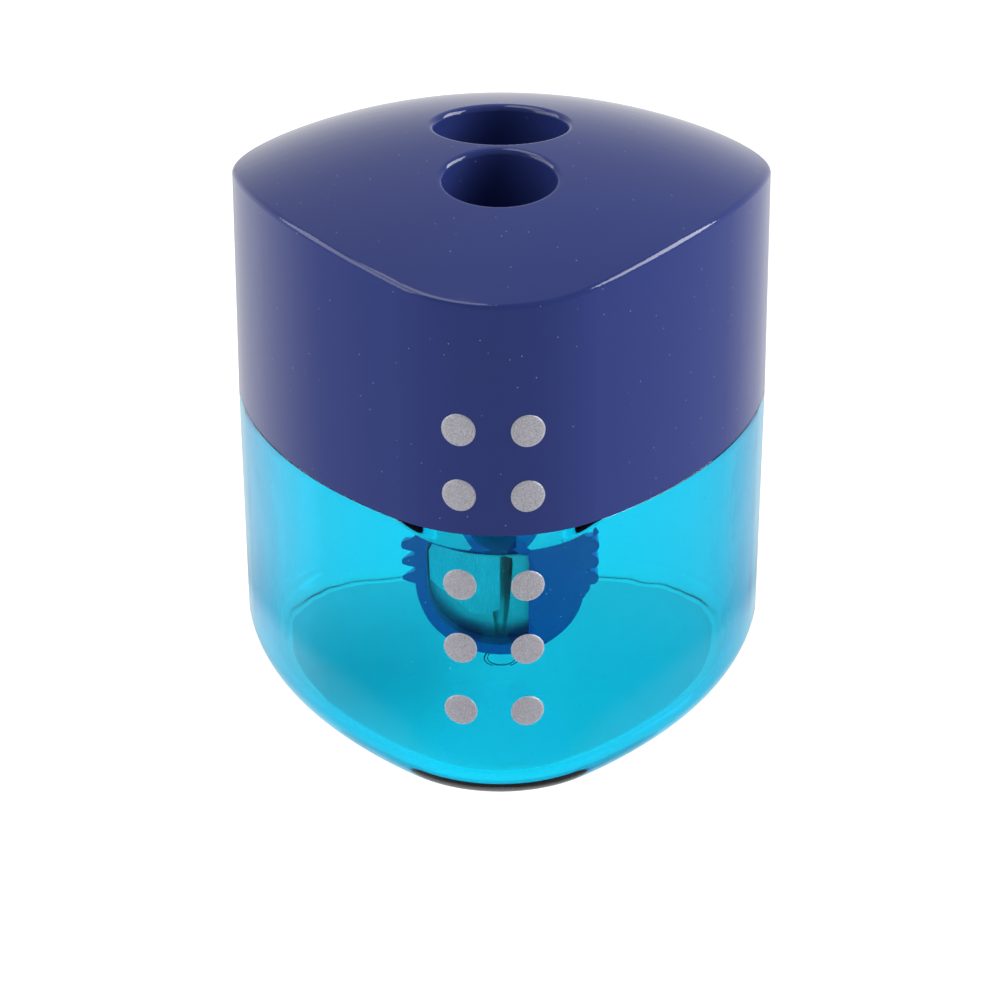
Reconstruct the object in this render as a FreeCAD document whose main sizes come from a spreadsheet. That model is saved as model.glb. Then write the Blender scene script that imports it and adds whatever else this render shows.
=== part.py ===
import FreeCAD, Part
import math
import os
import Sketcher

# Two-hole canister pencil sharpener: a domed cap that carries the two pencil holes and the
# cutting insert, standing on a see-through shavings container with a rounded three-sided plan.
# Frame: origin where the three-fold axis of the plan meets the base, +Z up, the rounded
# corner with the grip dots towards -Y.  Millimetres and degrees.

SIZES = [
    # Plan of the body: three corner arcs joined by three long side arcs, all tangent.
    ("body_width", 45.0),
    ("corner_radius", 11.6),
    ("side_radius", 43.2),
    # Heights of the container rim and of the top of the dome.
    ("seam_height", 23.7),
    ("total_height", 47.9),
    # Dome: an arc along Y swept round an axis parallel to Y.
    ("dome_radius_across", 53.6),
    ("dome_radius_along", 60.2),
    ("dome_top_y", 2.0),
    ("cap_draft", 0.8),
    ("cap_edge_round", 0.5),
    ("cap_wall", 1.2),
    ("cap_top_wall", 1.8),
    # Container.
    ("container_wall", 2.3),
    ("floor_wall", 1.0),
    ("base_round", 2.9),
    ("floor_round", 2.0),
    ("neck_height", 5.0),
    ("neck_root", 3.0),
    ("neck_gap", 0.15),
    ("neck_chamfer", 0.3),
    ("recess_width", 16.0),
    ("recess_height", 1.7),
    ("gate_ring_radius", 1.7),
    ("gate_ring_width", 0.4),
    ("gate_ring_depth", 0.3),
    # Pencil holes, which run down through the cap's spigot to the block.
    ("standard_hole_y", -8.3),
    ("standard_hole_radius", 4.4),
    ("jumbo_hole_y", 2.7),
    ("jumbo_hole_radius", 5.4),
    ("hole_rim_round", 0.45),
    # Metal block: a wedge that narrows downwards, with a round lower end.
    ("block_top", 33.0),
    ("block_bottom", 7.1),
    ("block_width", 12.1),
    ("standard_bore_radius", 4.1),
    ("standard_lead_in", 6.5),
    ("standard_cone_angle", 11.1),
    ("jumbo_bore_radius", 5.2),
    ("jumbo_lead_in", 5.0),
    ("jumbo_cone_angle", 13.2),
    ("cone_tip_radius", 0.5),
    ("edge_bite", 0.35),
    ("scoop_width", 3.2),
    ("scoop_depth", 1.2),
    ("scoop_length", 11.5),
    # Blades, lying on the sloping faces of the block.
    ("blade_thickness", 0.6),
    ("blade_side_gap", 0.1),
    ("blade_edge_gap", 0.05),
    ("blade_top_drop", 6.0),
    ("blade_length", 17.5),
    ("blade_corner", 3.6),
    ("blade_bevel", 1.2),
    ("blade_edge_land", 0.05),
    # Screws.
    ("screw_radius", 0.95),
    ("screw_hole_radius", 1.0),
    ("screw_head_radius", 1.6),
    ("screw_head_height", 0.9),
    ("screw_depth", 3.0),
    ("screw_slot_width", 0.5),
    ("screw_slot_depth", 0.4),
    ("screw_side", 4.2),
    ("standard_screw_drop", 13.2),
    ("jumbo_screw_drop", 15.6),
    ("blade_hole_gap", 0.15),
    # Plastic carrier round the block.
    ("carrier_wall", 1.0),
    ("carrier_gap", 0.05),
    ("carrier_front_wall", 1.3),
    ("window_side", 2.4),
    ("socket_height", 6.0),
    ("rib_height", 0.35),
    ("rib_radius", 0.8),
    ("rib_pitch", 1.6),
    # Grip dots.
    ("dot_radius", 1.3),
    ("dot_thickness", 0.1),
    ("dot_spacing", 5.18),
    ("dot_shift", -0.35),
    ("cap_dot_low", 3.2),
    ("cap_dot_pitch", 5.3),
    ("container_dot_low", 8.5),
    ("container_dot_pitch", 5.45),
]

# Sizes that follow from the ones above.
DERIVED = [
    ("corner_spread", "=(body_width / 2 - corner_radius) / cos(30 deg)"),
    ("side_offset", "=sqrt((side_radius - corner_radius)^2 - (corner_spread * sin(60 deg))^2)"
                    " - corner_spread / 2"),
    ("front_reach", "=corner_spread + corner_radius"),
    ("neck_inset", "=cap_wall + neck_gap"),
    ("recess_radius", "=((recess_width / 2)^2 + recess_height^2) / (2 * recess_height)"),
    ("standard_slope", "=tan(standard_cone_angle * 1 deg)"),
    ("jumbo_slope", "=tan(jumbo_cone_angle * 1 deg)"),
    ("front_seat_y", "=standard_hole_y - standard_bore_radius - standard_lead_in * standard_slope"
                     " + edge_bite"),
    ("back_seat_y", "=jumbo_hole_y + jumbo_bore_radius + jumbo_lead_in * jumbo_slope"
                    " - edge_bite"),
]

SHEET = "Sizes"
ARC_SEGMENTS = 3

doc = FreeCAD.newDocument("canister_sharpener")


def make_sheet():
    """Put every driving size, then every derived one, in the spreadsheet under its alias."""
    sheet = doc.addObject("Spreadsheet::Sheet", SHEET)
    for row, (alias, value) in enumerate(SIZES + DERIVED, start=1):
        sheet.set(f"A{row}", alias)
        sheet.set(f"B{row}", str(value))
        sheet.setAlias(f"B{row}", alias)
    doc.recompute()
    return sheet


sheet = make_sheet()


def size(alias):
    """The present value of a size in the spreadsheet."""
    return float(sheet.get(alias))


def cell(alias):
    """The name by which an expression refers to a size."""
    return f"{SHEET}.{alias}"


# --- helpers for bodies and sketches -------------------------------------------------------

def new_body(label):
    body = doc.addObject("PartDesign::Body", label)
    body.Label = label
    return body


def new_sketch(body, name, role):
    """A sketch on one of the body's own origin planes."""
    sketch = body.newObject("Sketcher::SketchObject", name)
    plane = next(f for f in body.Origin.OriginFeatures if f.Role == role)
    sketch.AttachmentSupport = (plane, "")
    sketch.MapMode = "FlatFace"
    return sketch


def lift(sketch, expression):
    """Move a sketch along its plane's normal."""
    sketch.setExpression("AttachmentOffset.Base.z", expression)


def bind(sketch, kind, places, value, expression):
    """Add a dimension to a sketch and tie it to the spreadsheet."""
    index = sketch.addConstraint(Sketcher.Constraint(kind, *places, value))
    sketch.setExpression(f"Constraints[{index}]", expression)


def place_point(sketch, geometry, point, x, y):
    """Fix a point of a sketch at (x, y), each given as (number, expression)."""
    for kind, (number, expression) in (("DistanceX", x), ("DistanceY", y)):
        if abs(number) < 1e-9:
            axis = -2 if kind == "DistanceX" else -1
            sketch.addConstraint(Sketcher.Constraint("PointOnObject", geometry, point, axis))
        else:
            bind(sketch, kind, (-1, 1, geometry, point), number, expression)


def evaluate(expression):
    """The value of an expression in sheet aliases, worked out by the document itself."""
    return float(sheet.evalExpression(expression.replace(SHEET + ".", "")))


def point(x_expression, y_expression):
    """A sketch point as its two (number, expression) pairs."""
    return ((evaluate(x_expression), x_expression), (evaluate(y_expression), y_expression))


def polygon(sketch, corners):
    """A closed outline of straight lines through corners given by point()."""
    first = sketch.GeometryCount
    count = len(corners)
    for i in range(count):
        (x0, _), (y0, _) = corners[i]
        (x1, _), (y1, _) = corners[(i + 1) % count]
        start = FreeCAD.Vector(x0, y0, 0)
        end = FreeCAD.Vector(x1, y1, 0)
        sketch.addGeometry(Part.LineSegment(start, end), False)
    for i in range(count):
        following = first + (i + 1) % count
        sketch.addConstraint(Sketcher.Constraint("Coincident", first + i, 2, following, 1))
        place_point(sketch, first + i, 1, *corners[i])


def circle(sketch, centre, radius_expression):
    """A circle with its centre given by point()."""
    (x, _), (y, _) = centre
    radius = evaluate(radius_expression)
    index = sketch.addGeometry(
        Part.Circle(FreeCAD.Vector(x, y, 0), FreeCAD.Vector(0, 0, 1), radius), False)
    place_point(sketch, index, 3, *centre)
    bind(sketch, "Radius", (index,), radius, radius_expression)


def rounded_triangle(sketch, spread, corner, side):
    """The body's plan: corner arcs about points at distance `spread` from the centre (the
    first towards -Y), joined by tangent side arcs.  All three sizes are expressions."""
    a, r, big = evaluate(spread), evaluate(corner), evaluate(side)
    offset = math.sqrt((big - r) ** 2 - (a * math.sin(math.pi / 3)) ** 2) - a / 2
    swing = math.atan2(a * math.sin(math.pi / 3), offset + a / 2)
    up = FreeCAD.Vector(0, 0, 1)
    for k in range(ARC_SEGMENTS):
        heading = math.radians(-90 + 120 * k)
        centre = FreeCAD.Vector(a * math.cos(heading), a * math.sin(heading), 0)
        half = math.pi / 3 - swing
        sketch.addGeometry(
            Part.ArcOfCircle(Part.Circle(centre, up, r), heading - half, heading + half), False)
        towards = heading + math.pi / 3
        far = FreeCAD.Vector(-offset * math.cos(towards), -offset * math.sin(towards), 0)
        sketch.addGeometry(
            Part.ArcOfCircle(Part.Circle(far, up, big), towards - swing, towards + swing), False)
    for k in range(2 * ARC_SEGMENTS):
        following = (k + 1) % (2 * ARC_SEGMENTS)
        sketch.addConstraint(Sketcher.Constraint("Tangent", k, 2, following, 1))
    for k in range(ARC_SEGMENTS):
        heading = f"({-90 + 120 * k} deg)"
        place_point(sketch, 2 * k, 3, *point(f"({spread}) * cos({heading})",
                                             f"({spread}) * sin({heading})"))
        bind(sketch, "Radius", (2 * k,), r, corner)
        bind(sketch, "Radius", (2 * k + 1,), big, side)


def plan_sketch(body, name, height, inset="0"):
    """The outer plan, moved inwards by `inset`, at a height."""
    sketch = new_sketch(body, name, "XY_Plane")
    rounded_triangle(sketch, cell("corner_spread"),
                     f"{cell('corner_radius')} - ({inset})",
                     f"{cell('side_radius')} - ({inset})")
    lift(sketch, height)
    return sketch


def pad(body, name, sketch, length, **settings):
    """A pad; settings are feature properties, and text values are expressions."""
    feature = body.newObject("PartDesign::Pad", name)
    return finish_extrusion(feature, sketch, length, settings)


def pocket(body, name, sketch, length, **settings):
    feature = body.newObject("PartDesign::Pocket", name)
    return finish_extrusion(feature, sketch, length, settings)


def finish_extrusion(feature, sketch, length, settings):
    feature.Profile = sketch
    feature.setExpression("Length", length)
    for key, value in settings.items():
        if isinstance(value, str):
            feature.setExpression(key, value)
        else:
            setattr(feature, key, value)
    doc.recompute()
    return feature


def edges_where(feature, test):
    """Names of a feature's edges whose every sampled point passes a test."""
    names = []
    for index, edge in enumerate(feature.Shape.Edges, start=1):
        first, last = edge.ParameterRange
        samples = [edge.valueAt(first + (last - first) * i / 4) for i in range(5)]
        if all(test(p) for p in samples):
            names.append(f"Edge{index}")
    return names


def dress(body, kind, name, base, names, **sizes):
    """A fillet or chamfer on named edges, with its sizes tied to the sheet."""
    feature = body.newObject(f"PartDesign::{kind}", name)
    feature.Base = (base, names)
    for key, expression in sizes.items():
        feature.setExpression(key, expression)
    doc.recompute()
    return feature


# --- cap -----------------------------------------------------------------------------------

def cut_dome(body, name, depth):
    """Cut a body off along the dome, or along a surface `depth` inside it: an arc in the
    symmetry plane, turned about an axis parallel to Y below its top."""
    axis_height = f"{cell('total_height')} - {cell('dome_radius_across')}"
    sketch = new_sketch(body, name + "Arc", "YZ_Plane")
    sketch.setExpression("AttachmentOffset.Base.y", axis_height)
    across = f"({cell('dome_radius_across')} - ({depth}))"
    along = f"({cell('dome_radius_along')} - ({depth}))"
    middle = cell("dome_top_y")
    reach = cell("body_width")
    top = f"({across} + {cell('cap_top_wall')} + {cell('total_height')} / 2)"
    radius = evaluate(along)
    centre_y = evaluate(middle)
    centre_z = evaluate(f"{across} - {along}")
    half_angle = math.asin(evaluate(reach) / radius)
    arc_circle = Part.Circle(FreeCAD.Vector(centre_y, centre_z, 0), FreeCAD.Vector(0, 0, 1), radius)
    arc = sketch.addGeometry(Part.ArcOfCircle(arc_circle, math.pi / 2 - half_angle,
                                              math.pi / 2 + half_angle), False)
    place_point(sketch, arc, 3, *point(middle, f"{across} - {along}"))
    bind(sketch, "Radius", (arc,), radius, along)
    low = centre_z + radius * math.cos(half_angle)
    right = centre_y + evaluate(reach)
    left = centre_y - evaluate(reach)
    roof = evaluate(top)
    corners = [(left, low), (left, roof), (right, roof), (right, low)]
    lines = []
    for (x0, y0), (x1, y1) in zip(corners, corners[1:]):
        segment = Part.LineSegment(FreeCAD.Vector(x0, y0, 0), FreeCAD.Vector(x1, y1, 0))
        lines.append(sketch.addGeometry(segment, False))
    rise, cover, fall = lines
    sketch.addConstraint(Sketcher.Constraint("Coincident", arc, 2, rise, 1))
    sketch.addConstraint(Sketcher.Constraint("Coincident", rise, 2, cover, 1))
    sketch.addConstraint(Sketcher.Constraint("Coincident", cover, 2, fall, 1))
    sketch.addConstraint(Sketcher.Constraint("Coincident", fall, 2, arc, 1))
    sketch.addConstraint(Sketcher.Constraint("Vertical", rise))
    sketch.addConstraint(Sketcher.Constraint("Vertical", fall))
    sketch.addConstraint(Sketcher.Constraint("Horizontal", cover))
    bind(sketch, "DistanceY", (-1, 1, cover, 1), roof, top)
    bind(sketch, "DistanceX", (-1, 1, cover, 1), left, f"{middle} - {reach}")
    bind(sketch, "DistanceX", (-1, 1, cover, 2), right, f"{middle} + {reach}")
    groove = body.newObject("PartDesign::Groove", name)
    groove.Profile = sketch
    groove.ReferenceAxis = (sketch, ["H_Axis"])
    groove.Angle = 360
    doc.recompute()
    return groove


def make_cap():
    """Domed cap: a drafted shell of even wall, with a spigot that both pencil holes run
    through and that plugs into the blade carrier."""
    seam = cell("seam_height")
    height = f"{cell('total_height')} - {seam}"
    inwards = f"-{cell('cap_draft')}"
    core = new_body("cap_core")
    inside = plan_sketch(core, "CoreOutline", seam, cell("cap_wall"))
    pad(core, "CorePad", inside, height, TaperAngle=inwards)
    cut_dome(core, "CoreDome", cell("cap_top_wall"))
    spigot = new_sketch(core, "SpigotOutline", "XY_Plane")
    half = f"{cell('block_width')} / 2"
    front, back = cell("front_seat_y"), cell("back_seat_y")
    polygon(spigot, [point(f"-{half}", front), point(half, front),
                     point(half, back), point(f"-{half}", back)])
    lift(spigot, cell("block_top"))
    pocket(core, "Spigot", spigot, height, Reversed=True)

    body = new_body("cap_shell")
    outline = plan_sketch(body, "Outline", seam)
    pad(body, "Prism", outline, height, TaperAngle=inwards)
    dome = cut_dome(body, "Dome", "0")
    above_side = size("seam_height") + size("cap_edge_round")
    dress(body, "Fillet", "TopEdge", dome, edges_where(dome, lambda p: p.z > above_side),
          Radius=cell("cap_edge_round"))
    hollow = body.newObject("PartDesign::Boolean", "Hollow")
    hollow.setObjects([core])
    hollow.Type = "Cut"
    doc.recompute()
    for kind in ("standard", "jumbo"):
        hole = new_sketch(body, f"{kind.title()}HoleOutline", "XY_Plane")
        circle(hole, point("0", cell(f"{kind}_hole_y")), cell(f"{kind}_hole_radius"))
        lift(hole, seam)
        drilled = pocket(body, f"{kind.title()}Hole", hole, height, Reversed=True)
    below_dome = size("total_height") / 2 + size("block_top") / 2
    rims = edges_where(drilled, lambda p: p.z > below_dome and on_hole_wall(p))
    dress(body, "Fillet", "HoleRims", drilled, rims, Radius=cell("hole_rim_round"))
    return body


def on_hole_wall(p):
    """Whether a point lies on the wall of one of the pencil holes."""
    return any(abs(math.hypot(p.x, p.y - size(f"{kind}_hole_y")) - size(f"{kind}_hole_radius"))
               < 0.01 for kind in ("standard", "jumbo"))


# --- container -----------------------------------------------------------------------------

def make_container():
    """Shavings container: thick-walled cup with a neck that stands inside the cap's skirt."""
    seam = cell("seam_height")
    body = new_body("container")
    outline = plan_sketch(body, "Outline", "0")
    wall = pad(body, "Wall", outline, seam)
    bottom = edges_where(wall, lambda p: abs(p.z) < 0.001)
    dress(body, "Fillet", "BaseRound", wall, bottom, Radius=cell("base_round"))

    recess = new_sketch(body, "RecessOutline", "XZ_Plane")
    centre_height = f"{seam} - {cell('recess_height')} + {cell('recess_radius')}"
    circle(recess, point("0", centre_height), cell("recess_radius"))
    lift(recess, cell("front_reach"))
    climb = FreeCAD.Vector(0, size("neck_inset"), size("recess_height"))
    pocket(body, "ThumbRecess", recess, f"{cell('front_reach')} - {cell('corner_spread')}",
           UseCustomVector=True, Direction=climb)

    neck = plan_sketch(body, "NeckOutline", f"{seam} - {cell('neck_root')}", cell("neck_inset"))
    pad(body, "Neck", neck, f"{cell('neck_root')} + {cell('neck_height')}")

    cavity = plan_sketch(body, "CavityOutline", cell("floor_wall"), cell("container_wall"))
    hollow = pocket(body, "Cavity", cavity, f"{seam} + {cell('neck_height')}", Reversed=True)
    floor = size("floor_wall")
    corner = edges_where(hollow, lambda p: abs(p.z - floor) < 0.001)
    rounded = dress(body, "Fillet", "FloorRound", hollow, corner, Radius=cell("floor_round"))

    rim = size("seam_height") + size("neck_height")
    top = edges_where(rounded, lambda p: abs(p.z - rim) < 0.001)
    dress(body, "Chamfer", "NeckChamfer", rounded, top, Size=cell("neck_chamfer"))

    gate = new_sketch(body, "GateRingOutline", "XY_Plane")
    circle(gate, point("0", "0"), cell("gate_ring_radius"))
    circle(gate, point("0", "0"), f"{cell('gate_ring_radius')} - {cell('gate_ring_width')}")
    pocket(body, "GateRing", gate, cell("gate_ring_depth"), Reversed=True)
    return body


# --- cutting insert ------------------------------------------------------------------------

SIDES = {
    # Each blade side: its pencil bore, and the turn about Z of its sloping seat.
    "standard": {"seat": "front_seat_y", "turn": 0, "outward": -1},
    "jumbo": {"seat": "back_seat_y", "turn": 180, "outward": 1},
}


def wedge(body, margin, face_margin, socket=None):
    """The wedge that block, block space and carrier share: round-bottomed across X, with a
    sloping face in front and behind.  It is larger than the block by `margin` at the sides
    and below and by `face_margin` in front and behind.  `socket` carries it straight up."""
    top = cell("block_top") if socket is None else f"{cell('block_top')} + {socket}"
    half = f"({cell('block_width')} / 2 + {margin})"
    centre = f"({cell('block_bottom')} + {cell('block_width')} / 2)"
    outline = new_sketch(body, "UOutline", "XZ_Plane")
    radius, height, roof = evaluate(half), evaluate(centre), evaluate(top)
    base = Part.Circle(FreeCAD.Vector(0, height, 0), FreeCAD.Vector(0, 0, 1), radius)
    bottom = outline.addGeometry(Part.ArcOfCircle(base, math.pi, 2 * math.pi), False)
    path = [(radius, height), (radius, roof), (-radius, roof), (-radius, height)]
    right, lid, left = [
        outline.addGeometry(Part.LineSegment(FreeCAD.Vector(*p, 0), FreeCAD.Vector(*q, 0)), False)
        for p, q in zip(path, path[1:])]
    outline.addConstraint(Sketcher.Constraint("Tangent", bottom, 2, right, 1))
    outline.addConstraint(Sketcher.Constraint("Coincident", right, 2, lid, 1))
    outline.addConstraint(Sketcher.Constraint("Coincident", lid, 2, left, 1))
    outline.addConstraint(Sketcher.Constraint("Tangent", left, 2, bottom, 1))
    outline.addConstraint(Sketcher.Constraint("Vertical", right))
    outline.addConstraint(Sketcher.Constraint("Horizontal", lid))
    place_point(outline, bottom, 3, *point("0", centre))
    bind(outline, "Radius", (bottom,), radius, half)
    bind(outline, "DistanceY", (-1, 1, lid, 1), roof, top)
    pad(body, "UPad", outline, f"2 * {cell('body_width')}", Midplane=True)
    return top


def slope_faces(body, face_margin, top):
    """Cut the wedge's sloping front and back faces; above the block they are upright."""
    for kind, side in SIDES.items():
        outward = side["outward"]
        sketch = new_sketch(body, f"{kind.title()}Slope", "YZ_Plane")
        shoulder = f"{cell(side['seat'])} + {outward} * ({face_margin})"
        foot = f"{shoulder} - {outward} * {cell('block_top')} * {cell(kind + '_slope')}"
        reach = f"{outward} * 2 * {cell('body_width')}"
        corners = [point(foot, "0"), point(reach, "0"), point(reach, top), point(shoulder, top)]
        if top != cell("block_top"):
            corners.append(point(shoulder, cell("block_top")))
        polygon(sketch, corners)
        last = pocket(body, f"{kind.title()}SlopeCut", sketch, f"4 * {cell('block_width')}",
                      Midplane=True)
    return last


def seat_offset(kind):
    """Expression that turns a sketch on the XZ plane on to a blade seat, its origin at the
    seat's top edge, its Y up the slope and its normal out of the block."""
    side = SIDES[kind]
    return (f"create(<<placement>>; create(<<vector>>; 0; {cell('block_top')};"
            f" -{cell(side['seat'])}); create(<<rotation>>; 0; {side['turn']};"
            f" {cell(kind + '_cone_angle')}))")


def seat_placement(kind):
    """The same seat as a placement in the object's frame, for the pieces that lie on it."""
    side = SIDES[kind]
    return (f"create(<<placement>>; create(<<vector>>; 0; {cell(side['seat'])};"
            f" {cell('block_top')}); create(<<rotation>>; {side['turn']}; 0;"
            f" 90 + {cell(kind + '_cone_angle')}))")


def revolve_axis(sketch, x_expression):
    """An upright construction line at x, which a revolution or groove turns about."""
    x = evaluate(x_expression)
    line = Part.LineSegment(FreeCAD.Vector(x, 0, 0), FreeCAD.Vector(x, 1, 0))
    index = sketch.addGeometry(line, True)
    place_point(sketch, index, 1, *point(x_expression, "0"))
    place_point(sketch, index, 2, *point(x_expression, "1"))


def make_block():
    """Metal two-hole block: each bore guides the pencil, then narrows to a cone that breaks
    through the sloping face, where the blade lies."""
    body = new_body("sharpener_block")
    top = wedge(body, "0", "0")
    slope_faces(body, "0", top)
    for kind in SIDES:
        axis = cell(f"{kind}_hole_y")
        bore = f"{axis} + {cell(kind + '_bore_radius')}"
        tip = f"{axis} + {cell('cone_tip_radius')}"
        lead_end = f"{top} - {cell(kind + '_lead_in')}"
        cone_height = (f"({cell(kind + '_bore_radius')} - {cell('cone_tip_radius')})"
                       f" / {cell(kind + '_slope')}")
        cone_end = f"{lead_end} - {cone_height}"
        sketch = new_sketch(body, f"{kind.title()}BoreSection", "YZ_Plane")
        polygon(sketch, [point(axis, top), point(axis, "0"), point(tip, "0"),
                         point(tip, cone_end), point(bore, lead_end), point(bore, top)])
        revolve_axis(sketch, axis)
        groove = body.newObject("PartDesign::Groove", f"{kind.title()}Bore")
        groove.Profile = sketch
        groove.ReferenceAxis = (sketch, ["Axis0"])
        groove.Angle = 360
        doc.recompute()

        scoop = new_sketch(body, f"{kind.title()}ScoopOutline", "XZ_Plane")
        scoop.setExpression("AttachmentOffset", seat_offset(kind))
        upper = f"-{cell('blade_top_drop')}"
        lower = f"{upper} - {cell('scoop_length')}"
        side = cell("scoop_width")
        polygon(scoop, [point("0", upper), point("0", lower), point(side, lower),
                        point(side, upper)])
        pocket(body, f"{kind.title()}Scoop", scoop, cell("scoop_depth"))

        thread = new_sketch(body, f"{kind.title()}ThreadOutline", "XZ_Plane")
        thread.setExpression("AttachmentOffset", seat_offset(kind))
        circle(thread, point(f"-{cell('screw_side')}", f"-{cell(kind + '_screw_drop')}"),
               cell("screw_hole_radius"))
        pocket(body, f"{kind.title()}Thread", thread, cell("screw_depth"))
    return body


def make_blade(kind):
    """Steel blade lying on its seat, with a ground edge along the bore and a screw hole."""
    body = new_body(f"{kind}_blade")
    edge = f"-{cell('blade_edge_gap')}"
    back = f"{cell('blade_side_gap')} - {cell('block_width')} / 2"
    upper = f"-{cell('blade_top_drop')}"
    lower = f"{upper} - {cell('blade_length')}"
    corner = cell("blade_corner")
    outline = new_sketch(body, f"{kind}_BladeOutline", "XY_Plane")
    polygon(outline, [point(edge, upper), point(back, upper), point(back, f"{lower} + {corner}"),
                      point(f"{back} + {corner}", lower), point(edge, lower)])
    circle(outline, point(f"-{cell('screw_side')}", f"-{cell(kind + '_screw_drop')}"),
           f"{cell('screw_radius')} + {cell('blade_hole_gap')}")
    pad(body, f"{kind}_BladePad", outline, cell("blade_thickness"))
    bevel = new_sketch(body, f"{kind}_BevelSection", "XZ_Plane")
    beyond = cell("blade_edge_gap")
    thick = cell("blade_thickness")
    land = cell("blade_edge_land")
    polygon(bevel, [point(edge, land), point(beyond, land), point(beyond, f"2 * {thick}"),
                    point(f"{edge} - {cell('blade_bevel')}", f"2 * {thick}"),
                    point(f"{edge} - {cell('blade_bevel')}", thick)])
    pocket(body, f"{kind}_Bevel", bevel, f"4 * {cell('block_top')}", Midplane=True)
    body.setExpression("Placement", seat_placement(kind))
    doc.recompute()
    return body


def make_screw(kind):
    """Slotted screw: its head on the blade, its shank in the block."""
    body = new_body(f"{kind}_blade_screw")
    axis = f"-{cell('screw_side')}"
    head = cell("blade_thickness")
    crown = f"{head} + {cell('screw_head_height')}"
    end = f"{head} - {cell('screw_depth')}"
    shank = f"{axis} + {cell('screw_radius')}"
    rim = f"{axis} + {cell('screw_head_radius')}"
    section = new_sketch(body, f"{kind}_ScrewSection", "XZ_Plane")
    lift(section, cell(f"{kind}_screw_drop"))
    polygon(section, [point(axis, end), point(shank, end), point(shank, head),
                      point(rim, head), point(rim, crown), point(axis, crown)])
    revolve_axis(section, axis)
    turned = body.newObject("PartDesign::Revolution", f"{kind}_ScrewTurned")
    turned.Profile = section
    turned.ReferenceAxis = (section, ["Axis0"])
    turned.Angle = 360
    doc.recompute()
    slot = new_sketch(body, f"{kind}_SlotOutline", "XY_Plane")
    lift(slot, crown)
    half_width = f"{cell('screw_slot_width')} / 2"
    half_length = f"2 * {cell('screw_head_radius')}"
    middle = f"-{cell(kind + '_screw_drop')}"
    polygon(slot, [point(f"{axis} - {half_width}", f"{middle} - {half_length}"),
                   point(f"{axis} + {half_width}", f"{middle} - {half_length}"),
                   point(f"{axis} + {half_width}", f"{middle} + {half_length}"),
                   point(f"{axis} - {half_width}", f"{middle} + {half_length}")])
    pocket(body, f"{kind}_Slot", slot, cell("screw_slot_depth"))
    body.setExpression("Placement", seat_placement(kind))
    doc.recompute()
    return body


def make_carrier():
    """Plastic carrier: a U-shaped strap round the block, ribbed at the sides, with a window
    over each blade and a socket on top that pushes on to the cap's spigot."""
    space = new_body("block_space")
    socket = cell("socket_height")
    gap = cell("carrier_gap")
    space_top = wedge(space, gap, gap, socket)
    slope_faces(space, gap, space_top)

    body = new_body("blade_carrier")
    margin = f"{gap} + {cell('carrier_wall')}"
    top = wedge(body, margin, gap, socket)
    half = f"({cell('block_width')} / 2 + {margin})"
    start = f"{cell('block_bottom')} + {cell('block_width')} / 2"
    ribs = new_sketch(body, "RibOutline", "XZ_Plane")
    for sign in (-1, 1):
        middle = f"{sign} * ({half} + {cell('rib_height')} - {cell('rib_radius')})"
        circle(ribs, point(middle, f"{start} + {cell('rib_pitch')} / 2"), cell("rib_radius"))
    rib = pad(body, "Rib", ribs, f"2 * {cell('body_width')}", Midplane=True)
    count = int((evaluate(top) - evaluate(start)) / size("rib_pitch"))
    pattern = body.newObject("PartDesign::LinearPattern", "Ribs")
    pattern.Originals = [rib]
    pattern.Direction = (ribs, ["V_Axis"])
    pattern.Occurrences = count
    pattern.setExpression("Length", f"{count - 1} * {cell('rib_pitch')}")
    body.Tip = pattern
    doc.recompute()
    slope_faces(body, f"{gap} + {cell('carrier_front_wall')}", top)

    hollow = body.newObject("PartDesign::Boolean", "BlockSpace")
    hollow.setObjects([space])
    hollow.Type = "Cut"
    doc.recompute()
    inner = f"({cell('block_width')} / 2 + {gap})"
    for kind, side in SIDES.items():
        window = new_sketch(body, f"{kind.title()}WindowOutline", "XZ_Plane")
        window.setExpression("AttachmentOffset",
                             f"create(<<placement>>; create(<<vector>>; 0; 0;"
                             f" {-side['outward']} * {cell('body_width')} / 2);"
                             f" create(<<rotation>>; 0; {side['turn']}; 0))")
        radius, height = evaluate(inner), evaluate(start)
        jamb, roof = size("window_side"), size("block_top")
        base = Part.Circle(FreeCAD.Vector(0, height, 0), FreeCAD.Vector(0, 0, 1), radius)
        finish = 1.5 * math.pi + math.asin(jamb / radius)
        sill = window.addGeometry(Part.ArcOfCircle(base, math.pi, finish), False)
        path = [(jamb, height - math.sqrt(radius ** 2 - jamb ** 2)), (jamb, roof),
                (-radius, roof), (-radius, height)]
        right, lid, left = [
            window.addGeometry(Part.LineSegment(FreeCAD.Vector(*p, 0), FreeCAD.Vector(*q, 0)),
                               False) for p, q in zip(path, path[1:])]
        window.addConstraint(Sketcher.Constraint("Coincident", sill, 2, right, 1))
        window.addConstraint(Sketcher.Constraint("Coincident", right, 2, lid, 1))
        window.addConstraint(Sketcher.Constraint("Coincident", lid, 2, left, 1))
        window.addConstraint(Sketcher.Constraint("Tangent", left, 2, sill, 1))
        window.addConstraint(Sketcher.Constraint("Vertical", right))
        window.addConstraint(Sketcher.Constraint("Horizontal", lid))
        place_point(window, sill, 3, *point("0", start))
        bind(window, "Radius", (sill,), radius, inner)
        bind(window, "DistanceX", (-1, 1, right, 2), jamb, cell("window_side"))
        bind(window, "DistanceY", (-1, 1, lid, 1), roof, cell("block_top"))
        depth = f"{cell('body_width')} / 2 - abs({cell(kind + '_hole_y')})"
        pocket(body, f"{kind.title()}Window", window, depth)
    return body


# --- grip dots -----------------------------------------------------------------------------

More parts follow.
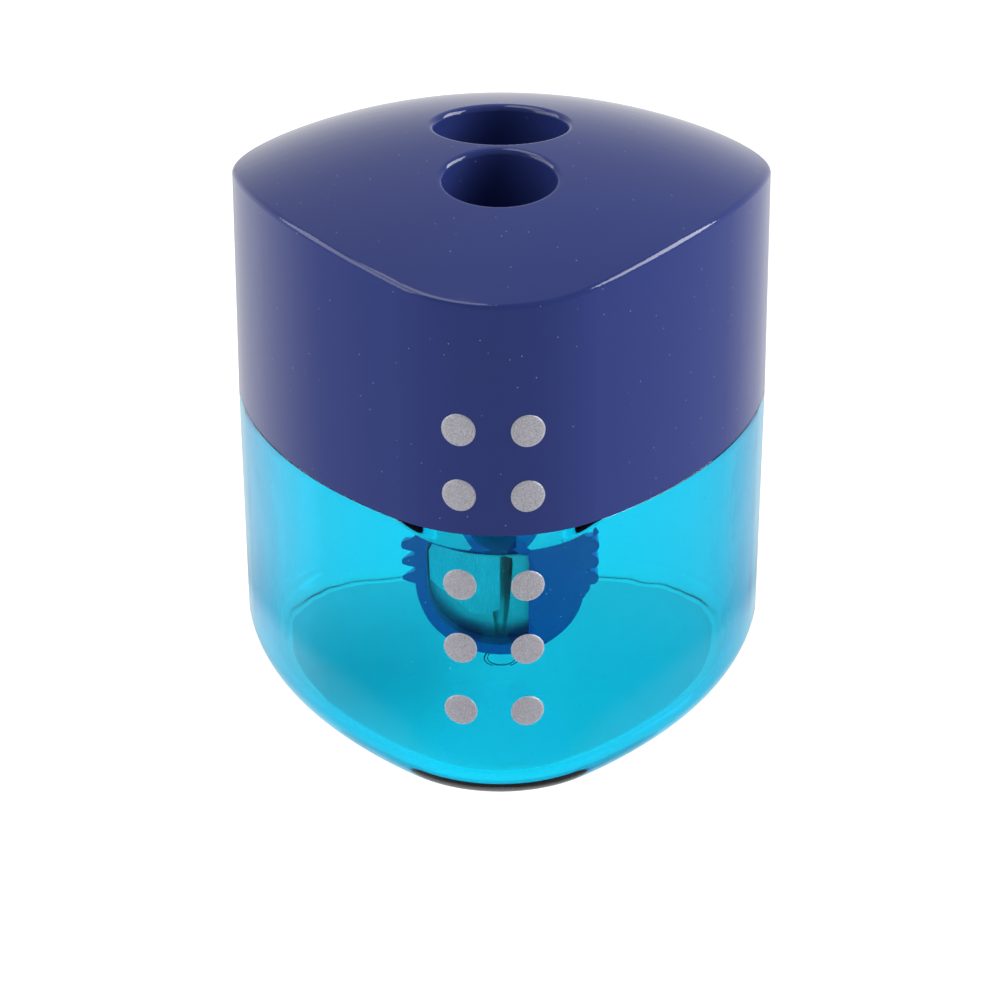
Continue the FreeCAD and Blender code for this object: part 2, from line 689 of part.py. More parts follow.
def make_skin(label, start, height, taper):
    """The thin layer that the dots are printed in: the outer plan, grown by a dot's
    thickness, less the plan itself."""
    layers = []
    for suffix, inset in (("inner", "0"), ("outer", f"-{cell('dot_thickness')}")):
        body = new_body(f"{label}_{suffix}")
        sketch = plan_sketch(body, f"{label}_{suffix}_Outline", start, inset)
        pad(body, f"{label}_{suffix}_Pad", sketch, height, TaperAngle=taper)
        layers.append(body)
    skin = doc.addObject("Part::Cut", label)
    skin.Base, skin.Tool = layers[1], layers[0]
    doc.recompute()
    return skin


def make_dot(label, skin, x_expression, z_expression):
    """One round dot: the skin inside a level cylinder at the front corner."""
    rod = doc.addObject("Part::Cylinder", f"{label}_rod")
    rod.setExpression("Radius", cell("dot_radius"))
    rod.setExpression("Height", cell("corner_radius"))
    rod.setExpression("Placement", f"create(<<placement>>; create(<<vector>>; {x_expression};"
                                   f" -{cell('corner_spread')}; {z_expression});"
                                   f" create(<<rotation>>; 0; 0; 90))")
    dot = doc.addObject("Part::Common", label)
    dot.Base, dot.Tool = skin, rod
    dot.Label = label
    doc.recompute()
    return dot


def make_dots():
    """Two columns of dots down the front corner, over the cap and the container."""
    seam = cell("seam_height")
    cap_skin = make_skin("cap_skin", seam, f"{cell('total_height')} - {seam}",
                         f"-{cell('cap_draft')}")
    container_skin = make_skin("container_skin", "0", seam, "0")
    rows = [("cap_dot", cap_skin, seam, "cap_dot_low", "cap_dot_pitch", 2),
            ("container_dot", container_skin, "0", "container_dot_low",
             "container_dot_pitch", 3)]
    dots = []
    for name, skin, base, low, pitch, count in rows:
        number = 0
        for row in reversed(range(count)):
            for sign in (-1, 1):
                number += 1
                x = f"{cell('dot_shift')} + {sign} * {cell('dot_spacing')} / 2"
                z = f"{base} + {cell(low)} + {row} * {cell(pitch)}"
                dots.append(make_dot(f"{name}_{number}", skin, x, z))
    return dots


def check_and_export(pieces):
    """Stop at any failed object or bad shape; otherwise write one STEP file for each piece."""
    doc.recompute()
    failed = [o.Label for o in doc.Objects if "Invalid" in o.State or "Error" in o.State]
    if failed:
        raise RuntimeError(f"failed objects: {failed}")
    for piece in pieces:
        if piece.Shape.isNull() or not piece.Shape.isValid() or not piece.Shape.Solids:
            raise RuntimeError(f"bad shape: {piece.Label}")
    os.makedirs("parts", exist_ok=True)
    for piece in pieces:
        piece.Shape.exportStep(f"parts/{piece.Label}.step")
        print(f"{piece.Label}: {len(piece.Shape.Solids)} solid, {piece.Shape.Volume:.2f} mm3")


pieces = [make_cap(), make_container(), make_block(), make_carrier()]
pieces += [make_blade(kind) for kind in SIDES]
pieces += [make_screw(kind) for kind in SIDES]
pieces += make_dots()
check_and_export(pieces)
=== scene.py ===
import math

import bpy
import numpy as np
from mathutils import Matrix, Vector


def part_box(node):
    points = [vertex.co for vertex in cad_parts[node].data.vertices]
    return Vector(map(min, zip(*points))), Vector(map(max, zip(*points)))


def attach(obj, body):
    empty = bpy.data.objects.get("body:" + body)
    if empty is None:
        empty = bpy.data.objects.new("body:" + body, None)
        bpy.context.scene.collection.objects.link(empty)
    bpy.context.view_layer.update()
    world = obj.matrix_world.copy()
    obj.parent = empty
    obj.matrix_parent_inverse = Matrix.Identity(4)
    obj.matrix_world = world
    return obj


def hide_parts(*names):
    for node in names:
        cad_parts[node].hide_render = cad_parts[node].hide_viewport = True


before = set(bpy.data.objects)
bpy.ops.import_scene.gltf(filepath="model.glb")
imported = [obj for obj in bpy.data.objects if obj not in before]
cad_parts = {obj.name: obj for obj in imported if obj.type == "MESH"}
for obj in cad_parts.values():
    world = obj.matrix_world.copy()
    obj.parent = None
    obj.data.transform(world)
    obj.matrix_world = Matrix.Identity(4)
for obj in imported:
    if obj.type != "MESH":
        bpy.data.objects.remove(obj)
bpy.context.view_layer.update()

scene = bpy.context.scene
MM = 0.001


# --- Camera ---------------------------------------------------------------------------------
# A catalogue view through a fairly long lens: the rounded corner with the dots faces the
# camera, which stands higher than the cap and looks down on its dome.

LENS = 95.66
SENSOR = 36.0
CLIP_START = 0.01
CAMERA_PLACE = Vector((2.06, -204.24, 111.18)) * MM
HEADING, LOOK_DOWN, ROLL = math.radians(0.61), math.radians(25.13), math.radians(0.141)

lens = bpy.data.cameras.new("camera")
lens.sensor_width = SENSOR
lens.lens = LENS
lens.clip_start = CLIP_START
camera = bpy.data.objects.new("camera", lens)
scene.collection.objects.link(camera)
scene.camera = camera
camera.matrix_world = (Matrix.Translation(CAMERA_PLACE)
                       @ Matrix.Rotation(HEADING, 4, "Z")
                       @ Matrix.Rotation(math.pi / 2 - LOOK_DOWN, 4, "X")
                       @ Matrix.Rotation(-ROLL, 4, "Z"))


# --- Light tent -----------------------------------------------------------------------------
# White cloth hung behind and beside the table, open and dim towards the camera, with a large
# softbox on each side and a third high up on the left. All of them are placed by heading and
# height from the middle of the table.

LEFT_BOX = {"azimuth": 178, "elevation": 31, "distance": 0.5, "wide": 0.50, "tall": 0.30}
RIGHT_BOX = {"azimuth": 6, "elevation": 31, "distance": 0.5, "wide": 0.36, "tall": 0.30}
TOP_BOX = {"azimuth": 184, "elevation": 70, "distance": 0.6, "wide": 0.36, "tall": 0.36}
LEFT_RADIANCE, RIGHT_RADIANCE, TOP_RADIANCE = 2.3, 6.8, 2.5
TENT_TURN = math.radians(10)
HORIZON_BLEND = (-0.1, 0.50)
CLOTH_BELOW = [(0.0, 0.20), (0.30, 0.22), (0.60, 0.26), (0.74, 0.32), (0.84, 0.58), (0.93, 0.78)]
CLOTH_ABOVE = [(0.0, 0.10), (0.50, 0.14), (0.80, 0.26), (1.0, 0.42)]

scene.view_settings.view_transform = "Standard"


def add(tree, kind, **settings):
    """Add a shader node of a kind and set its properties."""
    made = tree.nodes.new(kind)
    for key, value in settings.items():
        setattr(made, key, value)
    return made


def brightness_ramp(tree, source, stops):
    """Grey levels against a value from 0 to 1, from a list of (place, brightness)."""
    made = add(tree, "ShaderNodeValToRGB")
    elements = made.color_ramp.elements
    while len(elements) < len(stops):
        elements.new(1.0)
    for element, (place, grey) in zip(elements, stops):
        element.position = place
        element.color = (grey, grey, grey, 1.0)
    tree.links.new(source, made.inputs[0])
    return made.outputs["Color"]


def hang_tent():
    """Brightness by compass heading, from the camera's side (0) to the back (1): one curve
    for what lies below the horizon and one for what lies high above it, smoothly blended
    between them. The camera itself sees plain white."""
    world = bpy.data.worlds.new("light_tent")
    scene.world = world
    world.use_nodes = True
    tree = world.node_tree
    tree.nodes.clear()
    direction = add(tree, "ShaderNodeTexCoord").outputs["Generated"]
    turned = add(tree, "ShaderNodeMapping")
    turned.inputs["Rotation"].default_value = (0.0, 0.0, -TENT_TURN)
    level = add(tree, "ShaderNodeVectorMath", operation="MULTIPLY")
    level.inputs[1].default_value = (1.0, 1.0, 0.0)
    unit = add(tree, "ShaderNodeVectorMath", operation="NORMALIZE")
    compass = add(tree, "ShaderNodeSeparateXYZ")
    height = add(tree, "ShaderNodeSeparateXYZ")
    backward = add(tree, "ShaderNodeMapRange")
    backward.inputs["From Min"].default_value = -1.0
    tree.links.new(direction, turned.inputs[0])
    tree.links.new(turned.outputs[0], level.inputs[0])
    tree.links.new(level.outputs[0], unit.inputs[0])
    tree.links.new(unit.outputs[0], compass.inputs[0])
    tree.links.new(direction, height.inputs[0])
    tree.links.new(compass.outputs["Y"], backward.inputs["Value"])
    rise = add(tree, "ShaderNodeMapRange", interpolation_type="SMOOTHSTEP")
    rise.inputs["From Min"].default_value = HORIZON_BLEND[0]
    rise.inputs["From Max"].default_value = HORIZON_BLEND[1]
    tree.links.new(height.outputs["Z"], rise.inputs["Value"])
    cloth = add(tree, "ShaderNodeMix", data_type="RGBA")
    tree.links.new(rise.outputs[0], cloth.inputs["Factor"])
    tree.links.new(brightness_ramp(tree, backward.outputs[0], CLOTH_BELOW), cloth.inputs["A"])
    tree.links.new(brightness_ramp(tree, backward.outputs[0], CLOTH_ABOVE), cloth.inputs["B"])
    tent = add(tree, "ShaderNodeBackground")
    tree.links.new(cloth.outputs["Result"], tent.inputs["Color"])
    white = add(tree, "ShaderNodeBackground")
    white.inputs["Color"].default_value = (1.0, 1.0, 1.0, 1.0)
    seen = add(tree, "ShaderNodeMixShader")
    tree.links.new(add(tree, "ShaderNodeLightPath").outputs["Is Camera Ray"], seen.inputs["Fac"])
    tree.links.new(tent.outputs[0], seen.inputs[1])
    tree.links.new(white.outputs[0], seen.inputs[2])
    tree.links.new(seen.outputs[0], add(tree, "ShaderNodeOutputWorld").inputs["Surface"])


def hang_softbox(name, box, radiance):
    """A rectangular lamp that faces the middle: its power is its radiance times pi times
    its area."""
    data = bpy.data.lights.new(name, "AREA")
    data.shape = "RECTANGLE"
    data.size, data.size_y = box["wide"], box["tall"]
    data.energy = radiance * math.pi * box["wide"] * box["tall"]
    lamp = bpy.data.objects.new(name, data)
    scene.collection.objects.link(lamp)
    turn, rise = math.radians(box["azimuth"]), math.radians(box["elevation"])
    out = Vector((math.cos(turn) * math.cos(rise), math.sin(turn) * math.cos(rise), math.sin(rise)))
    lamp.location = out * box["distance"]
    lamp.rotation_euler = (-out).to_track_quat("-Z", "Y").to_euler()
    lamp.visible_camera = False


hang_tent()
hang_softbox("left_softbox", LEFT_BOX, LEFT_RADIANCE)
hang_softbox("right_softbox", RIGHT_BOX, RIGHT_RADIANCE)
hang_softbox("top_softbox", TOP_BOX, TOP_RADIANCE)


# --- Table ----------------------------------------------------------------------------------
# A white acrylic table top, lit from behind, a hair below the container's base. Mirror
# reflections miss it and see the tent instead, with a dark card laid round the base that
# nothing else sees: it stands for the object's own shade and keeps the cap dark in front.

TABLE_REACH = 3.0
TABLE_GAP = 0.05 * MM
TABLE_GLOW, TABLE_WHITE = 0.86, 0.4
MATT_ROUGHNESS = 0.6
SQUARE = ((-1, -1), (1, -1), (1, 1), (-1, 1))
SHADE_FORWARD = 0.022
SHADE_REACH = 0.060
SHADE_CORE, SHADE_GREY = 0.020, 0.02
SHADE_HOLE = (0.0265, 0.031)
SHADE_HEIGHT = -0.5 * TABLE_GAP


def new_material(name):
    """A material with its tree and its Principled shader."""
    material = bpy.data.materials.new(name)
    material.use_nodes = True
    tree = material.node_tree
    return material, tree, tree.nodes["Principled BSDF"]


def glowing_white(name, glow, white):
    """Matt white plastic lit from behind by a glow."""
    material, _, shader = new_material(name)
    shader.inputs["Base Color"].default_value = (white, white, white, 1.0)
    shader.inputs["Roughness"].default_value = MATT_ROUGHNESS
    shader.inputs["Emission Color"].default_value = (1.0, 1.0, 1.0, 1.0)
    shader.inputs["Emission Strength"].default_value = glow
    return material


def lay_sheet(name, outline, height, material):
    """One flat face through an outline, at a height on the table."""
    mesh = bpy.data.meshes.new(name)
    mesh.from_pydata([(x, y, 0.0) for x, y in outline], [], [tuple(range(len(outline)))])
    mesh.materials.append(material)
    sheet = bpy.data.objects.new(name, mesh)
    sheet.location.z = height
    scene.collection.objects.link(sheet)
    return sheet


def ring_outline(radius, count=96):
    """Points round a circle: its radius times the cosine and sine of even turns."""
    turns = np.linspace(0.0, 2 * math.pi, count, endpoint=False)
    return [(radius * math.cos(turn), radius * math.sin(turn)) for turn in turns]


table = lay_sheet("table_top", [(x * TABLE_REACH, y * TABLE_REACH) for x, y in SQUARE],
                  -TABLE_GAP, glowing_white("table_white", TABLE_GLOW, TABLE_WHITE))
table.visible_glossy = False


def fade(tree, distance, start, end):
    """1 where the distance is below start, then smoothly down to 0 at end."""
    made = add(tree, "ShaderNodeMapRange", interpolation_type="SMOOTHSTEP")
    made.inputs["From Min"].default_value = start
    made.inputs["From Max"].default_value = end
    made.inputs["To Min"].default_value = 1.0
    made.inputs["To Max"].default_value = 0.0
    tree.links.new(distance, made.inputs["Value"])
    return made.outputs[0]


def shade_look():
    """Dark between a hole round the base and the card's rim, where it fades out: one fade
    by distance from the card's middle, times one less a fade from the table's middle."""
    material, tree, shader = new_material("table_shade")
    shader.inputs["Base Color"].default_value = (SHADE_GREY, SHADE_GREY, SHADE_GREY, 1.0)
    shader.inputs["Roughness"].default_value = 1.0
    shader.inputs["Specular IOR Level"].default_value = 0.0
    place = add(tree, "ShaderNodeTexCoord").outputs["Object"]
    out = add(tree, "ShaderNodeVectorMath", operation="LENGTH")
    tree.links.new(place, out.inputs[0])
    back = add(tree, "ShaderNodeVectorMath", operation="SUBTRACT")
    back.inputs[1].default_value = (0.0, SHADE_FORWARD, 0.0)
    tree.links.new(place, back.inputs[0])
    near = add(tree, "ShaderNodeVectorMath", operation="LENGTH")
    tree.links.new(back.outputs[0], near.inputs[0])
    hole = fade(tree, near.outputs["Value"], *SHADE_HOLE)
    solid = add(tree, "ShaderNodeMath", operation="MULTIPLY_ADD")
    tree.links.new(hole, solid.inputs[0])
    outer = fade(tree, out.outputs["Value"], SHADE_CORE, SHADE_REACH)
    minus = add(tree, "ShaderNodeMath", operation="MULTIPLY")
    minus.inputs[1].default_value = -1.0
    tree.links.new(outer, minus.inputs[0])
    tree.links.new(minus.outputs[0], solid.inputs[1])
    tree.links.new(outer, solid.inputs[2])
    tree.links.new(solid.outputs[0], shader.inputs["Alpha"])
    return material


shade = lay_sheet("table_shade", ring_outline(SHADE_REACH), SHADE_HEIGHT, shade_look())
shade.location.y = -SHADE_FORWARD
shade.visible_camera = False
shade.visible_diffuse = False
shade.visible_transmission = False
shade.visible_shadow = False


# --- Container ------------------------------------------------------------------------------
# The shavings container is one injection moulding in clear cyan plastic, which bends light as
# acrylic does. Its even wall follows the rounded-triangle plan, and its stepped-in neck
# stands inside the cap's skirt.

CONTAINER_LOW, CONTAINER_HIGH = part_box("container")
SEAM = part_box("cap_shell")[0][2]
NECK_TOP = CONTAINER_HIGH[2]
BODY_WIDTH = CONTAINER_HIGH[0] - CONTAINER_LOW[0]
CORNER_RADIUS = 11.6 * MM
SIDE_RADIUS = 43.2 * MM
BASE_ROUND = 2.9 * MM
WALL = 2.3 * MM
FLOOR = 1.0 * MM
FLOOR_ROUND = 2.0 * MM
NECK_INSET = 1.35 * MM
NECK_ROUND = 0.3 * MM
SEAM_LIP = 0.15 * MM
THUMB_HALF_WIDTH = 8.0 * MM
THUMB_DEPTH = 1.7 * MM
GATE_OUTER, GATE_INNER, GATE_DEPTH = 1.7 * MM, 1.3 * MM, 0.3 * MM
GATE_LIP = 0.03 * MM
HEADING_STEP = 0.6
CYAN = (0.14, 0.915, 0.962)
CYAN_DENSITY = 1500.0
CLEAR_PLASTIC_IOR = 1.49
FLOW_LENGTH, FLOW_DEPTH = 5.0 * MM, 0.02 * MM
HAZE_LENGTH, HAZE_ROUGHNESS = 7.0 * MM, 0.03
DUST_PITCH, DUST_RADIUS = 1.1 * MM, 0.055 * MM
DUST_CORE = 0.6

headings = np.radians(np.arange(0.0, 360.0, HEADING_STEP))
outward = np.stack([np.cos(headings), np.sin(headings)], axis=1)
corner_spread = (BODY_WIDTH / 2 - CORNER_RADIUS) / math.cos(math.radians(30))
half_side = corner_spread * math.sin(math.radians(60))
side_offset = (math.sqrt((SIDE_RADIUS - CORNER_RADIUS) ** 2 - half_side ** 2)
               - corner_spread / 2)
side_swing = math.atan2(half_side, side_offset + corner_spread / 2)


def plan_outline(inset):
    """The body's plan moved inwards by `inset`, one point for each outward heading: the
    centre of the arc that faces that way, plus (its radius - inset) along the heading."""
    third = math.radians(120)
    front = math.radians(-90)
    nearest = np.round((headings - front) / third) * third + front
    away = headings - nearest
    on_corner = (np.abs(away) <= third / 2 - side_swing)[:, None]
    corner = corner_spread * np.stack([np.cos(nearest), np.sin(nearest)], axis=1)
    towards = nearest + np.sign(away) * third / 2
    side = -side_offset * np.stack([np.cos(towards), np.sin(towards)], axis=1)
    centre = np.where(on_corner, corner, side)
    radius = np.where(on_corner, CORNER_RADIUS, SIDE_RADIUS)
    return centre + (radius - inset) * outward


def loop(plan, height):
    """A plan lifted to a height, which is one number or one value for each point."""
    return np.column_stack([plan, np.broadcast_to(height, len(plan))])


def straight(start, end, steps):
    """The loops from one loop to another in even steps, without the first."""
    return [start + (end - start) * s for s in np.linspace(0, 1, steps + 1)[1:]]


def round_over(place, start, end, steps):
    """Loops round an edge: place(cosine, sine) for angles from start to end in degrees."""
    return [place(math.cos(a), math.sin(a)) for a in np.radians(np.linspace(start, end, steps))]


def shoulder(plan, inset):
    """Height of the shoulder under the cap: the seam, less a circular thumb notch across the
    front that is deepest at the outside and climbs to the seam at the neck."""
    x, y = plan[:, 0], plan[:, 1]
    radius = (THUMB_HALF_WIDTH ** 2 + THUMB_DEPTH ** 2) / (2 * THUMB_DEPTH)
    sag = np.sqrt(np.maximum(radius ** 2 - x ** 2, 0.0)) - (radius - THUMB_DEPTH)
    climbed = THUMB_DEPTH * inset / NECK_INSET
    return SEAM - np.where(y < -corner_spread, np.maximum(sag - climbed, 0.0), 0.0)


def skin(name, loops):
    """A closed surface through a stack of loops with equal counts, wound so that it faces
    outwards; the first and last loops are points, where it closes like a pole."""
    count = len(loops[1])
    rows = len(loops) - 2
    points = np.concatenate(loops[1:-1] + [loops[0][:1], loops[-1][:1]])
    here = np.arange(count)
    after = np.roll(here, -1)
    start = np.arange(rows - 1)[:, None] * count
    quads = np.stack([start + here, start + after, start + count + after, start + count + here],
                     axis=2).reshape(-1, 4)
    first, last = rows * count, rows * count + 1
    end = (rows - 1) * count
    opening = np.stack([np.full(count, first), after, here], axis=1)
    closing = np.stack([end + here, end + after, np.full(count, last)], axis=1)
    mesh = bpy.data.meshes.new(name)
    mesh.from_pydata(points.tolist(), [], quads.tolist() + opening.tolist() + closing.tolist())
    mesh.shade_smooth()
    made = bpy.data.objects.new(name, mesh)
    scene.collection.objects.link(made)
    return made


def underside():
    """From the middle of the base: the ring groove left round the moulding gate, the flat
    base and the quarter round that leads up to the wall."""
    out, inn, lip, deep = GATE_OUTER, GATE_INNER, GATE_LIP, GATE_DEPTH
    groove = [(0.0, 0.0), (inn / 2, 0.0), (inn - lip, 0.0), (inn, 0.0), (inn + lip, lip),
              (inn + lip, deep - lip), (inn + 2 * lip, deep), (out - 2 * lip, deep),
              (out - lip, deep - lip), (out - lip, lip), (out, 0.0), (out + lip, 0.0)]
    loops = [loop(radius * outward, height) for radius, height in groove]
    loops += straight(loops[-1], loop(plan_outline(BASE_ROUND), 0.0), steps=8)
    loops += round_over(lambda c, s: loop(plan_outline(BASE_ROUND * (1 - s)),
                                          BASE_ROUND * (1 - c)), start=5, end=90, steps=18)
    return loops


def outside():
    """Up the wall to the rounded seam edge, in along the shoulder and up the neck."""
    wall = plan_outline(0.0)
    top = loop(wall, shoulder(wall, 0.0) - SEAM_LIP)
    loops = straight(loop(wall, BASE_ROUND), top, steps=28)

    def over_lip(c, s):
        """One loop of the lip's quarter round: in by the lip less its cosine share, and
        down from the shoulder by the lip less its sine share."""
        inset = SEAM_LIP * (1 - c)
        plan = plan_outline(inset)
        return loop(plan, shoulder(plan, inset) - SEAM_LIP * (1 - s))

    loops += round_over(over_lip, start=15, end=90, steps=5)
    for inset in np.linspace(SEAM_LIP, NECK_INSET, 9)[1:]:
        plan = plan_outline(inset)
        loops.append(loop(plan, shoulder(plan, inset)))
    neck = plan_outline(NECK_INSET)
    loops += straight(loops[-1], loop(neck, NECK_TOP - NECK_ROUND), steps=10)
    return loops


def inside():
    """Over the rounded rim of the neck, down the cavity, round its corner to the floor."""
    rim = NECK_TOP - NECK_ROUND
    loops = round_over(lambda c, s: loop(plan_outline(NECK_INSET + NECK_ROUND * (1 - c)),
                                         rim + NECK_ROUND * s), start=15, end=90, steps=6)
    loops += round_over(lambda c, s: loop(plan_outline(WALL - NECK_ROUND * (1 - c)),
                                          rim + NECK_ROUND * s), start=90, end=0, steps=7)
    loops += straight(loops[-1], loop(plan_outline(WALL), FLOOR + FLOOR_ROUND), steps=30)
    loops += round_over(lambda c, s: loop(plan_outline(WALL + FLOOR_ROUND * (1 - c)),
                                          FLOOR + FLOOR_ROUND * (1 - s)),
                        start=6, end=90, steps=15)
    loops += straight(loops[-1], loop(0.0 * outward, FLOOR), steps=8)
    return loops


def dust_mask(tree, place, pitch, radius):
    """1 on a speck and 0 off it: specks are the points of a random lattice of a pitch, solid
    out to a share of their radius and then fading."""
    cells = add(tree, "ShaderNodeTexVoronoi")
    cells.inputs["Scale"].default_value = 1.0 / pitch
    tree.links.new(place, cells.inputs["Vector"])
    return fade(tree, cells.outputs["Distance"], DUST_CORE * radius / pitch, radius / pitch)


def wave_noise(tree, place, length, detail=2.0):
    """Soft noise with features of a length."""
    noise = add(tree, "ShaderNodeTexNoise")
    noise.inputs["Scale"].default_value = 1.0 / length
    noise.inputs["Detail"].default_value = detail
    tree.links.new(place, noise.inputs["Vector"])
    return noise.outputs["Fac"]


def bump(tree, shader, height, depth):
    """Tilt the shading by a height map whose full range is `depth` metres."""
    made = add(tree, "ShaderNodeBump")
    made.inputs["Distance"].default_value = depth
    tree.links.new(height, made.inputs["Height"])
    tree.links.new(made.outputs[0], shader.inputs["Normal"])


def ranged(tree, value, low, high):
    """A value from 0 to 1 spread over low to high."""
    made = add(tree, "ShaderNodeMapRange")
    made.inputs["To Min"].default_value = low
    made.inputs["To Max"].default_value = high
    tree.links.new(value, made.inputs["Value"])
    return made.outputs[0]


def clear_cyan():
    """Clear tinted plastic: the tint is absorption along the path, the surface follows soft
    noise, and its roughness is a share of a second noise, plus the specks of dust."""
    material, tree, shader = new_material("clear_cyan_plastic")
    place = add(tree, "ShaderNodeTexCoord").outputs["Object"]
    shader.inputs["Base Color"].default_value = (1.0, 1.0, 1.0, 1.0)
    shader.inputs["Transmission Weight"].default_value = 1.0
    shader.inputs["IOR"].default_value = CLEAR_PLASTIC_IOR
    haze = add(tree, "ShaderNodeMath", operation="MULTIPLY_ADD")
    haze.inputs[1].default_value = HAZE_ROUGHNESS
    tree.links.new(wave_noise(tree, place, HAZE_LENGTH, detail=5.0), haze.inputs[0])
    tree.links.new(dust_mask(tree, place, DUST_PITCH, DUST_RADIUS), haze.inputs[2])
    tree.links.new(haze.outputs[0], shader.inputs["Roughness"])
    bump(tree, shader, wave_noise(tree, place, FLOW_LENGTH, detail=1.0), FLOW_DEPTH)
    tint = add(tree, "ShaderNodeVolumeAbsorption")
    tint.inputs["Color"].default_value = (*CYAN, 1.0)
    tint.inputs["Density"].default_value = CYAN_DENSITY
    tree.links.new(tint.outputs[0], tree.nodes["Material Output"].inputs["Volume"])
    return material


container = skin("container_moulding", underside() + outside() + inside())
container.data.materials.append(clear_cyan())
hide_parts("container")
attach(container, "container")
container.visible_shadow = False


# --- Mat under the container, painted shade -------------------------------------------------
# A dimmer white sheet cut to the plan of the base, which lies between it and the table top,
# so that the clear floor shows a quieter white than the table's glow. Its weaker glow is
# painted shade: it stands for the shadow under the container, and the lamps still light it
# through the clear plastic.

# The mat's low glow is painted shade, standing for the container's shadow on the table.
MAT_INSET, PAINTED_SHADE_GLOW, MAT_WHITE = 3.7 * MM, 0.22, 0.72
MAT_HEIGHT = -0.8 * TABLE_GAP

mat = lay_sheet("painted_shade_mat", plan_outline(MAT_INSET).tolist(), MAT_HEIGHT,
                glowing_white("painted_shade_white", PAINTED_SHADE_GLOW, MAT_WHITE))
mat.visible_glossy = False


# --- Cap ------------------------------------------------------------------------------------
# The domed cap is moulded in dark blue plastic in a polished mould, so it is glossy all over,
# with a trace of waviness, a few finger marks and specks of dust.

CAP_BLUE = (0.028, 0.045, 0.20)
DUST_COLOUR = (0.30, 0.34, 0.48)
WAVE_LENGTH = 4.0 * MM
WAVE_DEPTH = 0.012 * MM
SMUDGE_LENGTH = 9.0 * MM
CAP_ROUGHNESS = (0.02, 0.13)


def blend_colour(tree, factor, first, second):
    """Colour `first` where the factor is 0, `second` where it is 1."""
    mix = add(tree, "ShaderNodeMix", data_type="RGBA")
    tree.links.new(factor, mix.inputs["Factor"])
    mix.inputs["A"].default_value = (*first, 1.0)
    mix.inputs["B"].default_value = (*second, 1.0)
    return mix.outputs["Result"]


def finish_nodes(material, *names):
    """Give CAD nodes a material in every slot."""
    for name in names:
        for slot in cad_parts[name].material_slots:
            slot.material = material


def cap_gloss():
    """Blue, paler on the specks of dust; roughness follows the finger marks and the surface
    a long soft noise."""
    material, tree, shader = new_material("blue_gloss_plastic")
    place = add(tree, "ShaderNodeTexCoord").outputs["Object"]
    dust = dust_mask(tree, place, DUST_PITCH, DUST_RADIUS)
    colour = blend_colour(tree, dust, CAP_BLUE, DUST_COLOUR)
    tree.links.new(colour, shader.inputs["Base Color"])
    smudge = wave_noise(tree, place, SMUDGE_LENGTH, detail=6.0)
    tree.links.new(ranged(tree, smudge, *CAP_ROUGHNESS), shader.inputs["Roughness"])
    bump(tree, shader, wave_noise(tree, place, WAVE_LENGTH), WAVE_DEPTH)
    return material


finish_nodes(cap_gloss(), "cap_shell")


# --- Blade carrier --------------------------------------------------------------------------
# A U-shaped strap of a brighter blue plastic, satin rather than polished, that holds the
# metal block and pushes on to the cap's spigot. Its sides carry a row of round ribs.

CARRIER_BLUE = (0.035, 0.09, 0.42)
GRAIN_LENGTH = 0.25 * MM
GRAIN_DEPTH = 0.01 * MM
GRAIN_PALER = 1.3
CARRIER_ROUGHNESS = (0.22, 0.38)


def carrier_satin():
    """Blue whose depth, roughness and height all follow one fine grain."""
    material, tree, shader = new_material("blue_carrier_plastic")
    place = add(tree, "ShaderNodeTexCoord").outputs["Object"]
    grain = wave_noise(tree, place, GRAIN_LENGTH, detail=4.0)
    paler = tuple(GRAIN_PALER * level for level in CARRIER_BLUE)
    tree.links.new(blend_colour(tree, grain, CARRIER_BLUE, paler), shader.inputs["Base Color"])
    tree.links.new(ranged(tree, grain, *CARRIER_ROUGHNESS), shader.inputs["Roughness"])
    bump(tree, shader, grain, GRAIN_DEPTH)
    return material


finish_nodes(carrier_satin(), "blade_carrier")


# --- Sharpener block ------------------------------------------------------------------------
# The block is die-cast in a light alloy and lightly brushed: dull grey, with fine parallel
# marks across its faces. It stands in the carrier and has a sloping seat for each blade.

ALLOY_GREY = (0.70, 0.70, 0.68)
ALLOY_DARK = (0.52, 0.52, 0.50)
BRUSH_MARK = 0.18 * MM
BRUSH_DEPTH = 0.006 * MM
BRUSH_STRETCH = (12.0, 1.0, 1.0)
ALLOY_ROUGHNESS = (0.28, 0.5)


def stretched_noise(tree, place, length, stretch, detail=3.0):
    """Noise with features `length` long, drawn out `stretch` times along each axis."""
    scale = add(tree, "ShaderNodeMapping")
    scale.inputs["Scale"].default_value = [1.0 / factor for factor in stretch]
    tree.links.new(place, scale.inputs["Vector"])
    return wave_noise(tree, scale.outputs[0], length, detail)


def brushed_alloy():
    """Dull metal: colour, roughness and height follow noise drawn out along the brushing."""
    material, tree, shader = new_material("cast_block_metal")
    place = add(tree, "ShaderNodeTexCoord").outputs["Object"]
    marks = stretched_noise(tree, place, BRUSH_MARK, BRUSH_STRETCH)
    tree.links.new(blend_colour(tree, marks, ALLOY_DARK, ALLOY_GREY),
                   shader.inputs["Base Color"])
    shader.inputs["Metallic"].default_value = 1.0
    tree.links.new(ranged(tree, marks, *ALLOY_ROUGHNESS), shader.inputs["Roughness"])
    bump(tree, shader, marks, BRUSH_DEPTH)
    return material


finish_nodes(brushed_alloy(), "sharpener_block")


# --- Blades ---------------------------------------------------------------------------------
# Two hardened steel blades, ground lengthways and honed along one edge. Each lies on a
# sloping seat of the block with its edge over the cut in the cone.

STEEL_BRIGHT = (0.68, 0.68, 0.69)
STEEL_DULL = (0.50, 0.50, 0.52)
GRINDING_MARK = 0.06 * MM
GRINDING_DEPTH = 0.002 * MM
GRINDING_STRETCH = (1.0, 8.0, 30.0)
STEEL_ROUGHNESS = (0.16, 0.34)


